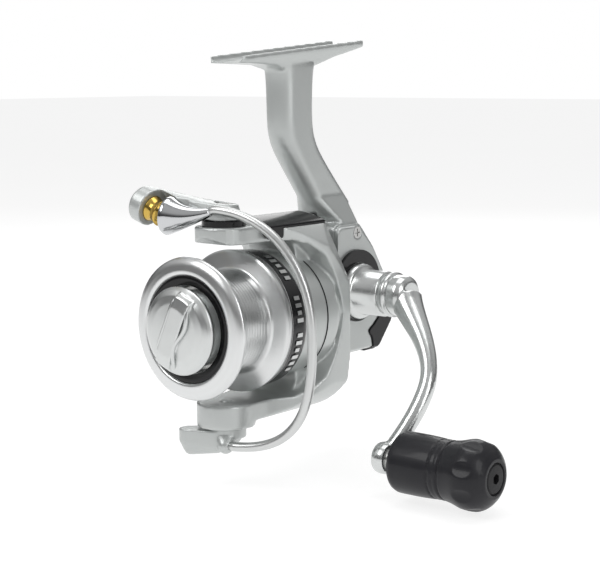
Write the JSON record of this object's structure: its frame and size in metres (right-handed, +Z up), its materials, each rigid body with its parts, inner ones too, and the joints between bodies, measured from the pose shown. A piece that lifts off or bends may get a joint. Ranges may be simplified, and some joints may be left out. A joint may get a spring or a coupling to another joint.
{
  "type": "spinning reel",
  "caption": "Front-drag spinning reel: foot and stem, side-mounted crank with a round knob, spool with polished lip, rotor with two arms and a full wire bail.",
  "frame": {"origin": "middle of the foot's seat, where the underside of the rod lies", "axes": "+Z points up into the rod, tilted from the seat's normal by the foot's slope; -Y is forward, the way the spool faces and the line leaves; +X is the crank's side"},
  "size_m": [0.1132, 0.1027, 0.1418],
  "materials": {
    "silver_paint": "satin silver paint",
    "pale_paint": "satin silver paint, lighter",
    "polished": "bright polished",
    "bare_alloy": "turned bare alloy",
    "steel": "ground steel",
    "black_gloss": "glossy black moulding",
    "black_matte": "matt black moulding",
    "grip_rubber": "soft-touch black",
    "gold": "gold-coloured coating",
    "gear_brass": "cut brass"
  },
  "bodies": {
    "frame": {"foot": "silver_paint", "stem": "silver_paint", "body_housing": "pale_paint", "side_cover": "silver_paint", "rear_trim": "black_gloss", "cover_screws": "steel", "stem_plug": "black_matte", "boss_ring": "black_gloss", "shaft_bearings": "steel", "pinion_bearing": "steel", "clutch_shell": "gear_brass", "nose_plate": "steel", "guide_rod": "steel", "left_cap": "silver_paint"},
    "crank": {"drive_gear": "gear_brass", "crank_collar": "silver_paint", "crank_arm": "silver_paint", "knob_axle": "steel"},
    "knob": {"knob_grip": "grip_rubber", "knob_cap": "black_matte"},
    "rotor": {"rotor": "pale_paint", "arm_cover": "black_gloss", "rotor_nut": "steel", "pinion_gear": "gear_brass", "clutch_sleeve": "steel", "pivot_screws": "steel", "pivot_spacer": "black_matte"},
    "bail": {"bail_arm": "silver_paint", "bail_wire": "steel", "line_cone": "polished", "bail_holder": "silver_paint"},
    "line_roller": {"line_roller": "gold"},
    "shaft": {"main_shaft": "steel", "slider": "bare_alloy"},
    "spool": {"spool": "bare_alloy", "skirt_band": "black_gloss", "face_ring": "black_matte", "line_clip": "black_gloss", "drag_washers": "black_matte", "click_wheel": "steel"},
    "drag": {"drag_knob": "polished", "drag_nut": "gear_brass"},
    "traverse": {"traverse_gear": "bare_alloy"}
  },
  "joints": [
    {"name": "crank_turn", "type": "hinge", "parent": "frame", "child": "crank", "pos_m": [0.02, 0.0205, -0.0814], "axis": [1, 0, 0], "continuous": true},
    {"name": "knob_spin", "type": "hinge", "parent": "crank", "child": "knob", "pos_m": [0.06, -0.00973, -0.12795], "axis": [1, 0, 0], "continuous": true},
    {"name": "rotor_spin", "type": "hinge", "parent": "frame", "child": "rotor", "pos_m": [0, -0.01, -0.0864], "axis": [0, 1, 0], "continuous": true},
    {"name": "bail_flip", "type": "hinge", "parent": "rotor", "child": "bail", "pos_m": [0, -0.033, -0.0864], "axis": [0, 0, -1], "range_deg": [0, 100]},
    {"name": "roller_spin", "type": "hinge", "parent": "bail", "child": "line_roller", "pos_m": [-0.0172, -0.045, -0.051], "axis": [0.9511, 0, -0.309], "continuous": true},
    {"name": "shaft_stroke", "type": "slide", "parent": "frame", "child": "shaft", "axis": [0, 1, 0], "range_m": [-0.006, 0.003]},
    {"name": "spool_slip", "type": "hinge", "parent": "shaft", "child": "spool", "pos_m": [0, -0.038, -0.0864], "axis": [0, 1, 0], "continuous": true},
    {"name": "drag_turn", "type": "hinge", "parent": "shaft", "child": "drag", "pos_m": [0, -0.05, -0.0864], "axis": [0, 1, 0], "range_deg": [-360, 360]},
    {"name": "traverse_turn", "type": "hinge", "parent": "frame", "child": "traverse", "pos_m": [0.0065, 0.03, -0.08873], "axis": [1, 0, 0], "continuous": true}
  ],
  "couplings": [
    {"joint": "rotor_spin", "follows": "crank_turn", "ratio": -5.1429},
    {"joint": "traverse_turn", "follows": "crank_turn", "ratio": -0.5}
  ]
}
